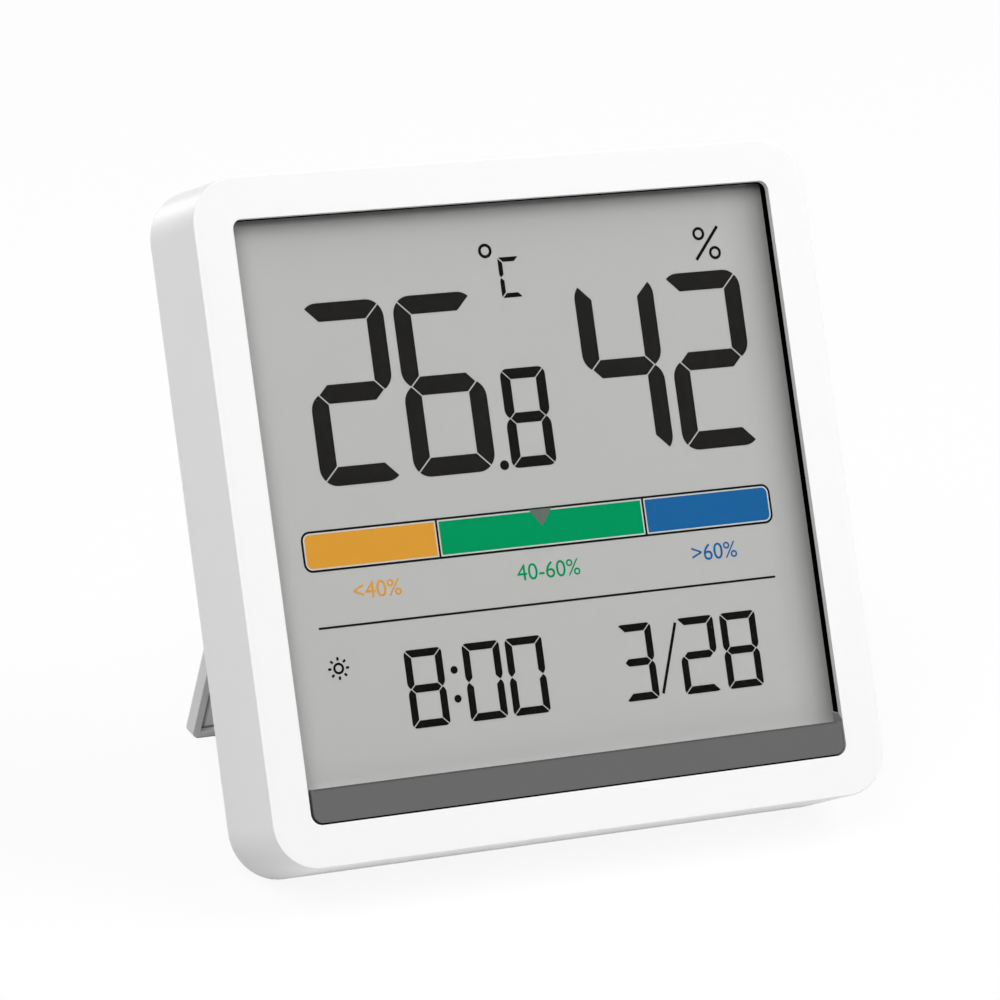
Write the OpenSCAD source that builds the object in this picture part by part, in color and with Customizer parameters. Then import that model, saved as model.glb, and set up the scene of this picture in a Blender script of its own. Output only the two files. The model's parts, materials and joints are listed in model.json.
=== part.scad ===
// Desk temperature and humidity display with a fold-out stand.
// Shapes are drawn in the casing's own frame: x to the right, y back from the front face, z up.
// The whole assembly is then leaned back until it stands on its lower edge and its stand.

/* [Casing] */
// Width of the front face
body_w = 80; // [76:0.5:90]
// Height of the front face
body_h = 80; // [76:0.5:90]
// Depth of the front shell, from its face to the parting edge
front_depth = 12.3; // [11:0.1:14]
// Corner radius of the front face
corner_r = 5.5; // [5:0.1:9]
// How far each side flares out between the front face and the parting edge
flare = 0.65; // [0.3:0.05:1]
// Rounding of the front face's outer edge
edge_r = 0.15; // [0.1:0.05:0.5]
// Wall of the front shell's sides
wall = 1.6; // [1.4:0.1:2]
// Step in the front shell's wall that seats the display holder
seat_step = 0.6; // [0.4:0.1:0.8]
// Inset of the rear cover's bevel at the back face
bevel = 3.6; // [3.4:0.1:4.5]
// Wall of the rear cover
cover_wall = 1.4; // [1.2:0.1:1.8]
// Height of the rear cover's locating lip
lip_h = 1.5; // [1:0.1:2]
// Wall of the locating lip
lip_t = 1.2; // [1:0.1:1.5]

/* [Window] */
// Border between the casing's outline and the window
bezel = 4.95; // [4.5:0.05:6]
// Corner radius of the window
window_r = 1.4; // [1:0.1:3]
// Thickness of the casing's face round the window
bezel_t = 0.8; // [0.7:0.05:1.4]
// Height of the grey strip along the bottom of the window
band_h = 4.15; // [3.5:0.05:5]
// Groove round the grey strip
groove = 0.18; // [0.1:0.01:0.3]
// How far the lens and the strip lie below the front face
lens_inset = 0.06; // [0.02:0.01:0.2]
// Reach of the lens's flange behind the face
lens_flange = 1.3; // [1:0.1:1.8]
// Thickness of the lens's flange
flange_t = 0.6; // [0.4:0.05:0.8]
// Thickness of the gasket between the lens and the display
gasket_t = 0.65; // [0.3:0.05:0.9]

/* [Display] */
// How far the display's glass reaches past the window
lcd_margin = 0.8; // [0.5:0.1:1.1]
// Thickness of the front polariser
polariser_t = 0.2; // [0.15:0.01:0.3]
// Thickness of each glass plate
glass_t = 0.9; // [0.7:0.05:1.1]
// Thickness of the rear polariser and reflector
reflector_t = 0.25; // [0.15:0.01:0.4]
// Height of the contact ledge along the display's lower edge
contact_ledge = 2.6; // [2.2:0.1:3.2]
// Width of the rubber connector on the contact ledge
zebra_w = 1.6; // [1.2:0.1:2]

/* [Holder and board] */
// Thickness of the display holder's plate
holder_t = 1; // [0.8:0.1:1.4]
// Wall of the holder's rim round the display
holder_rim = 1.1; // [0.8:0.1:1.2]
// Height of the holder's posts below the board
post_h = 1.3; // [1:0.1:2]
// Thickness of the circuit board
board_t = 1; // [0.8:0.1:1.6]
// Distance from the casing's inner wall to the board
board_margin = 2.2; // [1.6:0.1:3]
// Reach of the snap catches that hold the holder in
catch_reach = 0.5; // [0.3:0.05:0.7]
// Length of each snap catch
catch_l = 8; // [5:0.5:12]
// Diameter of the controller's epoxy dome
dome_d = 12; // [9:0.5:15]
// Height of the controller's epoxy dome
dome_h = 1.6; // [1:0.1:2.2]
// Diameter of the clock crystal's can
crystal_d = 2; // [1.5:0.1:3]
// Length of the clock crystal's can
crystal_l = 6; // [5:0.5:8]
// How far the controller lies below the middle of the casing
chip_drop = 12; // [8:0.5:16]
// Number of small parts soldered beside the controller
passive_count = 6; // [3:1:8]
// Length of a small soldered part
passive_l = 1.6; // [1:0.1:2]
// Width and height of a small soldered part
passive_w = 0.8; // [0.5:0.1:0.9]
// Side of the humidity sensor
sensor_w = 3; // [2:0.1:4]
// Height of the humidity sensor
sensor_h = 1; // [0.8:0.1:1.4]

/* [Cells] */
// Diameter of a cell
cell_d = 10.5; // [9.5:0.1:11.5]
// Length of a cell with its nub
cell_l = 44.5; // [42:0.5:47]
// Diameter of a cell's nub
nub_d = 3.8; // [3:0.1:4.5]
// Height of a cell's nub
nub_h = 1; // [0.8:0.1:1.4]
// Gap between the two cells
cell_gap = 0.4; // [0.2:0.1:1]
// Clearance round the cells in their bay
cell_clear = 0.2; // [0.1:0.05:0.4]
// Room at each end of a cell for its contact
contact_room = 3; // [2.5:0.1:4]
// Thickness of the contacts' sheet metal
contact_t = 0.4; // [0.3:0.05:0.5]
// Width of a contact's leaf
leaf_w = 4; // [3:0.1:6]
// Gap between a contact's tail and the switches
tail_gap = 0.3; // [0.2:0.05:0.6]
// Wall of the battery bay
bay_wall = 1; // [0.9:0.1:1.3]
// Gap between the battery bay's floor and the display
bay_gap = 0.3; // [0.2:0.05:0.6]
// Thickness of the battery door
door_t = 1.4; // [1.2:0.1:1.8]
// Gap between the cells and the door
door_gap = 0.3; // [0.2:0.1:0.6]
// Clearance round the battery door
door_clear = 0.12; // [0.1:0.01:0.25]
// Ledge that the battery door lies on
ledge = 0.8; // [0.6:0.05:0.85]
// Strip of the back between the battery door and the bevel
top_margin = 1.25; // [1:0.05:2]
// Length of the battery door's tongues
tongue_l = 2.2; // [1.5:0.1:2.4]
// Width of the battery door's tongues
tongue_w = 6; // [4:0.5:8]
// Thickness of the battery door's tongues
tongue_t = 0.8; // [0.6:0.05:0.9]
// Diameter of the fingernail scoop at the battery door's edge
scoop_d = 4.6; // [3:0.1:4.8]
// Depth of the fingernail scoop
scoop_deep = 0.5; // [0.3:0.05:0.6]
// Length of the grip grooves on the battery door
grip_l = 10; // [6:0.5:16]
// Width of the grip grooves
grip_w = 0.8; // [0.6:0.1:1.2]
// Depth of the grip grooves
grip_deep = 0.35; // [0.2:0.05:0.5]
// Distance between the grip grooves
grip_pitch = 1.8; // [1.5:0.1:2.5]

/* [Stand] */
// Width of the stand
stand_w = 60; // [52:0.5:64]
// Length of the stand, from its pivot to its foot
stand_l = 44; // [40:0.5:46]
// Thickness of the stand
stand_t = 2.2; // [2:0.1:2.6]
// Rim round the hollow on the stand's inner side
stand_rim = 0.95; // [0.8:0.05:1.6]
// Thickness of the stand at its hollow
stand_floor = 1.4; // [0.8:0.05:1.6]
// Corner radius at the stand's foot
foot_r = 1; // [0.5:0.1:2.5]
// Angle between the stand and the back when the stand is out
stand_open = 46.4; // [42:0.1:50]
// Depth of the stand's pivot below the back face
hinge_in = 1.8; // [1.7:0.05:2.2]
// Diameter of the stand's pivot pins
trunnion_d = 2; // [1.6:0.1:2.2]
// Length of the stand's pivot pins
trunnion_l = 1.8; // [1.4:0.1:2.4]
// Radial clearance of the pivot pins
pivot_clear = 0.04; // [0.02:0.01:0.08]
// Reach of the stand's heel above its pivot
heel = 2.6; // [2.2:0.1:3]
// How far the pivot's barrel lies below the stand's outer face
barrel_gap = 0.05; // [0.03:0.01:0.1]
// Gap left at the stand's stop
stop_gap = 0.05; // [0.02:0.01:0.1]
// Thickness of the stand's heel
heel_t = 1.3; // [1:0.1:1.5]
// Clearance round the stand in its pocket
stand_clear = 0.3; // [0.2:0.05:0.5]
// Wall between the stand's pocket and the battery door
web = 1.05; // [0.9:0.05:2]
// Wall of the stand's pocket
pocket_wall = 1.2; // [1:0.1:1.6]

/* [Buttons and vents] */
// Diameter of a button
button_d = 4.6; // [3.8:0.1:5.2]
// How far a button stands out of the back
button_proud = 0.35; // [0.2:0.05:0.8]
// Travel of a button
button_travel = 0.3; // [0.2:0.05:0.4]
// Distance between the buttons
button_pitch = 6.5; // [6.2:0.1:6.8]
// How far the middle button lies below the cells' middle line
button_drop = 3.3; // [3:0.1:3.6]
// Clearance round a button
button_clear = 0.15; // [0.1:0.01:0.25]
// Flange that holds a button behind the cover
button_flange = 0.5; // [0.4:0.05:0.7]
// Side of a switch
switch_w = 4.5; // [4:0.1:5]
// Height of a switch's body
switch_h = 3.2; // [2.6:0.1:3.6]
// Diameter of a switch's plunger
plunger_d = 2.2; // [1.8:0.1:2.6]
// How far a switch's plunger stands out of its body
plunger_out = 1; // [0.8:0.1:1.4]
// Number of vent slots
vent_count = 5; // [3:1:6]
// Length of a vent slot
vent_l = 5.4; // [4:0.1:6]
// Width of a vent slot
vent_w = 1; // [0.8:0.1:1.2]
// Distance between the vent slots
vent_pitch = 2.2; // [2:0.1:2.6]

/* [Fasteners] */
// Diameter of the cover screws' shanks
screw_d = 1.9; // [1.7:0.1:2.2]
// Length of the cover screws' shanks
screw_l = 5.2; // [4.6:0.1:5.6]
// Diameter of the cover screws' heads
head_d = 3.4; // [3:0.1:3.8]
// Height of the cover screws' heads
head_h = 1.3; // [1:0.1:1.6]
// Distance of the cover screws from the back face's edges
screw_inset = 3.65; // [3.4:0.05:4]
// Wall round the screw holes
boss_wall = 0.9; // [0.8:0.05:1.2]
// Seat that a cover screw's head draws against
screw_seat = 2; // [1.6:0.1:2.4]
// Diameter of the board screws' shanks
board_screw_d = 1.5; // [1.3:0.1:1.7]
// Diameter of the board screws' heads
board_head_d = 3; // [2.6:0.1:3.4]
// Height of the board screws' heads
board_head_h = 1; // [0.8:0.1:1.3]
// Clearance round screw shanks and other pieces that stay put
fit_clear = 0.1; // [0.05:0.01:0.15]

/* [Hidden] */
$fn = 64;

// Overshoot of a cut past the face that it opens
past = 1;

// Depths of the layers behind the front face
lens_back = bezel_t + flange_t;
lcd_d = lens_back + gasket_t;
front_glass_d = lcd_d + polariser_t;
rear_glass_d = front_glass_d + glass_t;
reflector_d = rear_glass_d + glass_t;
lcd_back = reflector_d + reflector_t;
holder_back = lcd_back + holder_t;
board_d = holder_back + post_h;
board_back = board_d + board_t;
bay_floor_d = lcd_back + bay_gap;
bay_d = bay_floor_d + bay_wall;
cell_y = bay_d + cell_clear + cell_d / 2;
door_d = cell_y + cell_d / 2 + door_gap;
body_t = door_d + door_t;
inner_d = body_t - cover_wall;
boss_d = board_back + screw_seat;
head_seat_d = boss_d + screw_seat;

// Window, lens and display outlines
window_w = body_w - 2 * bezel;
window_h = body_h - 2 * bezel;
band_top = band_h - window_h / 2;
lcd_w = window_w + 2 * lcd_margin;
lcd_h = window_h + 2 * lcd_margin;

// Half sizes of the back face inside its bevel
flat_x = body_w / 2 + flare - bevel;
flat_z = body_h / 2 + flare - bevel;

// Battery bay, from the top of the back face downwards
bay_w = cell_l + 2 * contact_room;
bay_h = 2 * cell_d + cell_gap + 2 * cell_clear;
bay_top = flat_z - top_margin - ledge;
bay_bottom = bay_top - bay_h;
bay_mid = bay_top - bay_h / 2;
cell_pitch = cell_d + cell_gap;
door_w = bay_w + 2 * ledge;
door_h = bay_h + 2 * ledge;
door_corner = 1;

// Pivot of the stand, below the battery door
well_r = sqrt(heel * heel + hinge_in * hinge_in) + stand_clear;
hinge_y = body_t - hinge_in;
hinge_z = bay_bottom - ledge - web - well_r;
barrel_r = hinge_in - barrel_gap;
well_depth = well_r * sin(stand_open);
pocket_y = hinge_in - stand_t - stand_clear;

// Lean of the casing, from where the stand's foot and the lower edges touch the table
foot_y = hinge_y + stand_l * sin(stand_open) + hinge_in * cos(stand_open);
foot_z = hinge_z - stand_l * cos(stand_open) + hinge_in * sin(stand_open);
edge_lean = atan2(foot_z + body_h / 2 + flare, foot_y - front_depth);
bevel_lean = atan2(foot_z + flat_z, foot_y - body_t);
lean = max(edge_lean, bevel_lean);
front_reach = -body_h / 2 * sin(lean);
back_reach = max(body_t * cos(lean) + flat_z * sin(lean), foot_y * cos(lean) + foot_z * sin(lean));
mid_reach = (front_reach + back_reach) / 2;
rise = foot_y * sin(lean) - foot_z * cos(lean);

// Height of the controller on the board
chip_z = -chip_drop;

// Columns beside the battery bay
column_x = (door_w / 2 + flat_x) / 2;
button_mid = bay_mid - button_drop;
button_offsets = [button_pitch, 0, -button_pitch];
vent_mid = button_mid;

// Places of the screws
screw_x = flat_x - screw_inset;
screw_z = flat_z - screw_inset;
boss_r = head_d / 2 + fit_clear + boss_wall;
board_half_w = inner_half(body_w, board_d) - board_margin;
board_half_h = inner_half(body_h, board_d) - board_margin;
notch = boss_r + 2 * fit_clear;
board_screw_x = board_half_w - board_head_d;
board_screw_zs = [hinge_z - board_head_d, -board_half_h / 2 - board_head_d];

// Half of the casing's inside, at a depth behind the front face
function inner_half(size, depth) = size / 2 + flare * depth / front_depth - wall;

// Outline of the casing outside the corners' centres, at a depth behind the front face
function side_u(depth) = corner_r + flare * depth / front_depth;

// Leans the finished casing back and stands it on the table
module stood() {
    translate([0, -mid_reach, rise]) rotate([-lean, 0, 0]) children();
}

// Extrudes a face drawn as x and z from one depth to another
module slab(from, to) {
    translate([0, to, 0]) rotate([90, 0, 0]) linear_extrude(to - from) children();
}

// Extrudes a section drawn as y and z from one x to another
module bar(from, to) {
    translate([from, 0, 0]) rotate([90, 0, 90]) linear_extrude(to - from) children();
}

// Rectangle about the origin
module plate(w, h) {
    square([w, h], center = true);
}

// Rectangle about the origin with round corners
module round_plate(w, h, r) {
    plate(w - 2 * r, h);
    plate(w, h - 2 * r);
    for (sx = [-1, 1], sz = [-1, 1]) translate([sx * (w / 2 - r), sz * (h / 2 - r)]) circle(r);
}

// Places copies at the four corners of a rectangle about the origin
module corners(x, z) {
    for (sx = [-1, 1], sz = [-1, 1]) translate([sx * x, sz * z]) children();
}

// Solid whose side follows a section round the casing's outline.
// The section's points give the distance outside the corners' centres, and the depth.
module cased(section) {
    cx = body_w / 2 - corner_r;
    cz = body_h / 2 - corner_r;
    depths = [for (p = section) p[1]];
    outline = [for (p = section) [p[0], -p[1]]];
    rotate([90, 0, 0]) {
        translate([-cx, -cz, -max(depths)]) cube([2 * cx, 2 * cz, max(depths) - min(depths)]);
        for (turn = [0, 180]) rotate(turn) {
            translate([cx, cz, 0]) rotate([90, 0, 0]) linear_extrude(2 * cz) polygon(outline);
            translate([cx, cz, 0]) rotate_extrude(angle = 90) polygon(outline);
        }
        for (turn = [90, 270]) rotate(turn) {
            translate([cz, cx, 0]) rotate([90, 0, 0]) linear_extrude(2 * cx) polygon(outline);
            translate([cz, cx, 0]) rotate_extrude(angle = 90) polygon(outline);
        }
    }
}

// Front shell: a shallow square tray with the window in its face
module front_shell() {
    rounding = [for (a = [0:30:90]) [side_u(0) - edge_r + edge_r * sin(a), edge_r - edge_r * cos(a)]];
    outside = concat([[0, 0]], rounding, [[side_u(front_depth), front_depth], [0, front_depth]]);
    open_d = front_depth + past;
    inside = [[0, bezel_t], [side_u(bezel_t) - wall - seat_step, bezel_t],
        [side_u(lcd_back) - wall - seat_step, lcd_back], [side_u(lcd_back) - wall, lcd_back],
        [side_u(open_d) - wall, open_d], [0, open_d]];
    color("white") stood() {
        difference() {
            cased(outside);
            cased(inside);
            slab(-past, bezel_t + past) round_plate(window_w, window_h, window_r);
        }
        shell_catches();
    }
}

// Catches on the front shell's walls that trap the display holder's flange
module shell_catches() {
    catch_d = holder_back + fit_clear;
    reach_x = inner_half(body_w, catch_d);
    reach_z = inner_half(body_h, catch_d);
    span = catch_reach + wall / 2;
    slab(catch_d, catch_d + catch_reach) {
        for (s = [-1, 1], t = [-1, 1]) {
            translate([s * (reach_x + wall / 2 - span / 2), t * body_h / 4]) plate(span, catch_l);
            translate([t * body_w / 4, s * (reach_z + wall / 2 - span / 2)]) plate(catch_l, span);
        }
    }
}

// Lens: clear plate in the window, with a flange behind the casing's face
module lens() {
    top = window_h / 2 - fit_clear;
    color("lightcyan", 0.3) stood() {
        slab(lens_inset, bezel_t) intersection() {
            round_plate(window_w - 2 * fit_clear, 2 * top, window_r - fit_clear);
            translate([-window_w / 2, band_top]) square([window_w, window_h]);
        }
        slab(bezel_t, lens_back) flange_outline();
    }
}

// Outline of the lens's flange, its corners level with the casing's inner corners
module flange_outline() {
    round_plate(window_w + 2 * lens_flange, window_h + 2 * lens_flange, corner_r - bezel + lens_flange);
}

// Grey strip that fills the bottom of the window and hides the display's contacts
module trim_strip() {
    color("dimgray") stood() slab(lens_inset, bezel_t) intersection() {
        round_plate(window_w - 2 * groove, window_h - 2 * groove, window_r - groove);
        translate([-window_w / 2, -window_h / 2]) square([window_w, band_h - groove]);
    }
}

// Black gasket between the lens's flange and the display, open over the viewing area
module lens_gasket() {
    color("black") stood() slab(lens_back, lcd_d) difference() {
        flange_outline();
        translate([-window_w / 2, band_top]) square([window_w, window_h / 2 - band_top]);
    }
}

// One layer of the display, cut short by some height along the lower edge
module lcd_layer(from, to, short) {
    stood() slab(from, to) translate([-lcd_w / 2, short - lcd_h / 2]) square([lcd_w, lcd_h - short]);
}

// Front polariser of the display
module lcd_front_polariser() {
    color("darkgray") lcd_layer(lcd_d, front_glass_d, 0);
}

// Front glass, whose lower edge carries the contacts on its back
module lcd_front_glass() {
    color("lightgray") lcd_layer(front_glass_d, rear_glass_d, 0);
}

// Rear glass, shorter by the contact ledge
module lcd_rear_glass() {
    color("lightgray") lcd_layer(rear_glass_d, reflector_d, contact_ledge);
}

// Rear polariser and reflector of the display
module lcd_reflector() {
    color("silver") lcd_layer(reflector_d, lcd_back, contact_ledge);
}

// Holder that seats the display in the front shell and carries the board and the cover's screws
module lcd_holder() {
    flange_w = 2 * (inner_half(body_w, lcd_back) - fit_clear);
    flange_h = 2 * (inner_half(body_h, lcd_back) - fit_clear);
    flange_r = side_u(lcd_back) - wall - fit_clear;
    bay_clear = bay_wall + 4 * fit_clear;
    pilot_d = boss_d + screw_seat - screw_l - 2 * fit_clear;
    color("gainsboro") stood() difference() {
        union() {
            slab(lcd_back, holder_back) round_plate(flange_w, flange_h, flange_r);
            slab(front_glass_d, lcd_back) difference() {
                union() {
                    plate(lcd_w + 2 * (fit_clear + holder_rim), body_h - 2 * corner_r);
                    plate(body_w - 2 * corner_r, lcd_h + 2 * (fit_clear + holder_rim));
                }
                plate(lcd_w + 2 * fit_clear, lcd_h + 2 * fit_clear);
            }
            slab(lcd_back, boss_d) corners(screw_x, screw_z) circle(screw_d / 2 + fit_clear + boss_wall);
            slab(lcd_back, board_d) board_screw_places() circle(board_screw_d / 2 + fit_clear + boss_wall);
        }
        slab(lcd_back, holder_back + past) translate([0, bay_mid])
            plate(bay_w + 2 * bay_clear, bay_h + 2 * bay_clear);
        slab(lcd_back, holder_back + past) translate([0, zebra_z()])
            plate(zebra_l() + 4 * fit_clear, zebra_w + 4 * fit_clear);
        slab(pilot_d, boss_d + past) corners(screw_x, screw_z) circle(screw_d / 2 + fit_clear / 2);
        slab(lcd_back + fit_clear, board_d + past) board_screw_places() circle(board_screw_d / 2 + fit_clear / 2);
    }
}

// Height of the connector strip's middle, on the display's contact ledge
function zebra_z() = -lcd_h / 2 + contact_ledge / 2;

// Length of the connector strip, between the holder's lower bosses
function zebra_l() = 2 * (screw_x - screw_d / 2 - boss_wall - 5 * fit_clear);

// Rubber connector from the display's contact ledge to the board
module zebra_strip() {
    color("slategray") stood() slab(rear_glass_d, board_d) translate([0, zebra_z()])
        plate(zebra_l(), zebra_w);
}

// Places of the board's screws
module board_screw_places() {
    for (s = [-1, 1], z = board_screw_zs) translate([s * board_screw_x, z]) children();
}

// Circuit board, cut out round the battery bay and the corner bosses
module main_board() {
    bay_clear = bay_wall + 4 * fit_clear;
    color("seagreen") stood() slab(board_d, board_back) difference() {
        plate(2 * board_half_w, 2 * board_half_h);
        translate([-bay_w / 2 - bay_clear, bay_bottom - bay_clear])
            square([bay_w + 2 * bay_clear, body_h]);
        for (sx = [-1, 1], sz = [-1, 1]) translate([sx * body_w / 2, sz * body_h / 2])
            plate(body_w - 2 * (screw_x - notch), body_h - 2 * (screw_z - notch));
        board_screw_places() circle(board_screw_d / 2 + fit_clear);
    }
}

// Controller under a dome of epoxy on the back of the board
module controller_chip() {
    dome = [for (a = [0:15:90]) [dome_d / 2 * cos(a), dome_h * sin(a)]];
    color("black") stood() translate([0, board_back, chip_z]) rotate([-90, 0, 0])
        rotate_extrude() polygon(concat([[0, 0]], dome));
}

// Tuning-fork crystal that keeps the clock's time
module clock_crystal() {
    color("silver") stood() translate([dome_d, board_back + crystal_d / 2, chip_z]) {
        rotate([0, 90, 0]) cylinder(h = crystal_l, d = crystal_d);
        for (s = [-1, 1]) translate([-crystal_d, 0, s * crystal_d / 4]) rotate([0, 90, 0])
            cylinder(h = crystal_d + fit_clear, d = crystal_d / 6);
    }
}

// Small parts soldered in a row on the back of the board
module board_passives() {
    color("peru") stood() slab(board_back, board_back + passive_w)
        for (i = [0:passive_count - 1]) translate([-dome_d, chip_z + (i - passive_count / 2) * passive_l])
            plate(passive_l, passive_w);
}

// Sensing chip on the board's left arm, facing the vents
module humidity_sensor() {
    color("whitesmoke") stood() translate([-column_x, 0, vent_mid]) difference() {
        slab(board_back, board_back + sensor_h) plate(sensor_w, sensor_w);
        slab(board_back + sensor_h / 2, board_back + sensor_h + past) circle(d = sensor_w / 2.5);
    }
}

// Bodies of the push switches on the board's right arm
module tact_switches() {
    bore_d = switch_h - plunger_out - button_travel - fit_clear;
    color("dimgray") stood() for (dz = button_offsets) translate([column_x, 0, button_mid + dz])
        difference() {
            slab(board_back, board_back + switch_h) plate(switch_w, switch_w);
            slab(board_back + bore_d, board_back + switch_h + past) circle(plunger_d / 2 + fit_clear);
        }
}

// Plunger of one switch, which its button pushes
module plunger(dz) {
    color("black") stood() slab(board_back + switch_h - plunger_out, board_back + switch_h + plunger_out)
        translate([column_x, button_mid + dz]) circle(d = plunger_d);
}

// Button cap with the stem that reaches its switch
module button_cap(dz) {
    flange_d = inner_d - fit_clear;
    color("white") stood() translate([column_x, 0, button_mid + dz]) {
        slab(flange_d, body_t + button_proud) circle(d = button_d);
        slab(flange_d - button_flange, flange_d) circle(button_d / 2 + button_flange);
        slab(board_back + switch_h + plunger_out, flange_d) circle(d = plunger_d);
    }
}

module plunger_set() { plunger(button_offsets[0]); }
module plunger_up() { plunger(button_offsets[1]); }
module plunger_down() { plunger(button_offsets[2]); }
module button_set() { button_cap(button_offsets[0]); }
module button_up() { button_cap(button_offsets[1]); }
module button_down() { button_cap(button_offsets[2]); }

// One cell, its nub towards +x or -x
module cell(z, nub_side) {
    color("steelblue") stood() translate([0, cell_y, z]) rotate([0, 90 * nub_side, 0]) {
        translate([0, 0, -cell_l / 2]) cylinder(h = cell_l - nub_h, d = cell_d);
        translate([0, 0, cell_l / 2 - nub_h - fit_clear]) cylinder(h = nub_h + fit_clear, d = nub_d);
    }
}

module cell_upper() { cell(bay_mid + cell_pitch / 2, 1); }
module cell_lower() { cell(bay_mid - cell_pitch / 2, -1); }

// Bowed leaf of a contact, from the bay's end wall to the end of a cell
module contact_leaf(z, side) {
    bow_r = contact_room - contact_t;
    end_x = side * (bay_w / 2 - contact_t);
    translate([end_x, cell_y - leaf_w / 2, z]) rotate([-90, 0, 0]) linear_extrude(leaf_w) intersection() {
        difference() {
            circle(bow_r);
            circle(bow_r - contact_t);
        }
        translate([-side * bow_r, 0]) plate(2 * bow_r, 4 * bow_r);
    }
}

// Flat sheet of a contact against the bay's end wall
module contact_sheet(z, h, side) {
    from = side > 0 ? bay_w / 2 - contact_t : -bay_w / 2;
    bar(from, from + contact_t) translate([cell_y, z]) plate(2 * leaf_w, h);
}

// Contact of one cell, with the tail that is soldered to the board
module contact_single(z) {
    tail_end = column_x - switch_w / 2 - tail_gap;
    color("silver") stood() {
        contact_leaf(z, 1);
        contact_sheet(z, cell_d - contact_room, 1);
        translate([bay_w / 2 - contact_t, board_back, z - leaf_w / 4])
            cube([tail_end - bay_w / 2 + contact_t, contact_t, leaf_w / 2]);
    }
}

module contact_positive() { contact_single(bay_mid + cell_pitch / 2); }
module contact_negative() { contact_single(bay_mid - cell_pitch / 2); }

// Contact that joins the two cells in series
module contact_link() {
    color("silver") stood() {
        for (s = [-1, 1]) contact_leaf(bay_mid + s * cell_pitch / 2, -1);
        contact_sheet(bay_mid, 2 * cell_d - contact_room, -1);
    }
}

// Section of the space that the stand turns in, about its pivot
module pocket_section() {
    translate([pocket_y, -body_h]) square([body_t, body_h]);
    circle(barrel_r + stand_clear);
    intersection() {
        circle(well_r);
        rotate(stand_open) translate([hinge_in - heel_t - stop_gap, -body_h / 2]) square(body_h);
    }
}

// Rear cover: bevelled back with the battery bay, the stand's pocket, button holes and vents
module rear_cover() {
    rim_u = side_u(front_depth);
    lip_u = rim_u - wall - fit_clear;
    lip_d = front_depth - lip_h;
    lip_in = lip_u - lip_t;
    outside = [[0, front_depth], [rim_u, front_depth], [rim_u - bevel, body_t], [0, body_t]];
    lip_taper = flare * lip_h / front_depth;
    lip = [[0, lip_d], [lip_u - lip_taper, lip_d], [lip_u, front_depth], [lip_u, front_depth + fit_clear],
        [0, front_depth + fit_clear]];
    inside = [[0, lip_d - past], [lip_in, lip_d - past], [lip_in, front_depth + cover_wall / 2],
        [rim_u - bevel - cover_wall / 2, inner_d], [0, inner_d]];
    color("white") stood() difference() {
        union() {
            difference() {
                union() {
                    cased(outside);
                    cased(lip);
                }
                cased(inside);
            }
            cover_bay();
            cover_posts();
            cover_duct();
            intersection() {
                cased(outside);
                pocket_blocks();
            }
        }
        cover_openings();
    }
}

// Box of the battery bay
module cover_bay() {
    slab(bay_floor_d, door_d) translate([0, bay_mid]) plate(bay_w + 2 * bay_wall, bay_h + 2 * bay_wall);
}

// Posts that the cover's screws pass through
module cover_posts() {
    slab(boss_d, body_t - cover_wall / 2) corners(screw_x, screw_z) circle(boss_r);
}

// Duct that leads air from the vents to the humidity sensor
module cover_duct() {
    duct_w = vent_l + 2 * fit_clear;
    duct_h = vent_count * vent_pitch;
    slab(board_back + 4 * fit_clear, body_t - cover_wall / 2) translate([-column_x, vent_mid]) difference() {
        plate(duct_w + 2 * boss_wall, duct_h + 2 * boss_wall);
        plate(duct_w, duct_h);
    }
}

// Solid round the stand's pocket and pivots, before the pocket is cut
module pocket_blocks() {
    half = stand_w / 2 + stand_clear + pocket_wall;
    pivot_half = stand_w / 2 + stand_clear + trunnion_l + pocket_wall;
    low_y = hinge_y + pocket_y - pocket_wall;
    high_y = hinge_y - well_depth - pocket_wall;
    bar(-half, half) translate([low_y, -body_h / 2 - flare]) square([body_t - low_y, hinge_z + body_h / 2 + flare]);
    bar(-half, half) translate([high_y, hinge_z - well_r])
        square([body_t - high_y, 2 * well_r + web]);
    bar(-pivot_half, pivot_half) translate([hinge_y, hinge_z]) circle(trunnion_d / 2 + pocket_wall);
}

// Everything that is cut through the rear cover
module cover_openings() {
    half = stand_w / 2 + stand_clear;
    bore_half = half + trunnion_l;
    tail_w = leaf_w / 2 + 2 * fit_clear;
    flange_room = button_flange + button_travel + 3 * fit_clear;
    slab(bay_d, door_d + past) translate([0, bay_mid]) plate(bay_w, bay_h);
    slab(door_d, body_t + past) translate([0, bay_mid]) round_plate(door_w, door_h, door_corner);
    bar(-half, half) translate([hinge_y, hinge_z]) pocket_section();
    bar(-bore_half, bore_half) translate([hinge_y, hinge_z]) circle(trunnion_d / 2 + pivot_clear);
    slab(boss_d - past, body_t) corners(screw_x, screw_z) circle(screw_d / 2 + fit_clear);
    slab(head_seat_d, body_t + past) corners(screw_x, screw_z) circle(head_d / 2 + fit_clear);
    for (dz = button_offsets) translate([column_x, 0, button_mid + dz]) {
        slab(inner_d, body_t + past) circle(button_d / 2 + button_clear);
        slab(inner_d - flange_room, inner_d) circle(button_d / 2 + button_flange + button_clear);
    }
    slab(inner_d, body_t + past) for (i = [0:vent_count - 1])
        translate([-column_x, vent_mid + (i - (vent_count - 1) / 2) * vent_pitch])
            round_plate(vent_l, vent_w, vent_w / 2.01);
    for (s = [-1, 1]) translate([bay_w / 2 - past, board_back - fit_clear, bay_mid + s * cell_pitch / 2 - tail_w / 2])
        cube([bay_wall + 2 * past, contact_t + 2 * fit_clear, tail_w]);
    finger_scoop();
}

// Half-round scoop at the battery door's edge that a fingernail fits in
module finger_scoop() {
    slab(body_t - scoop_deep, body_t + past) translate([-door_w / 2, bay_mid]) circle(d = scoop_d);
}

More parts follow.
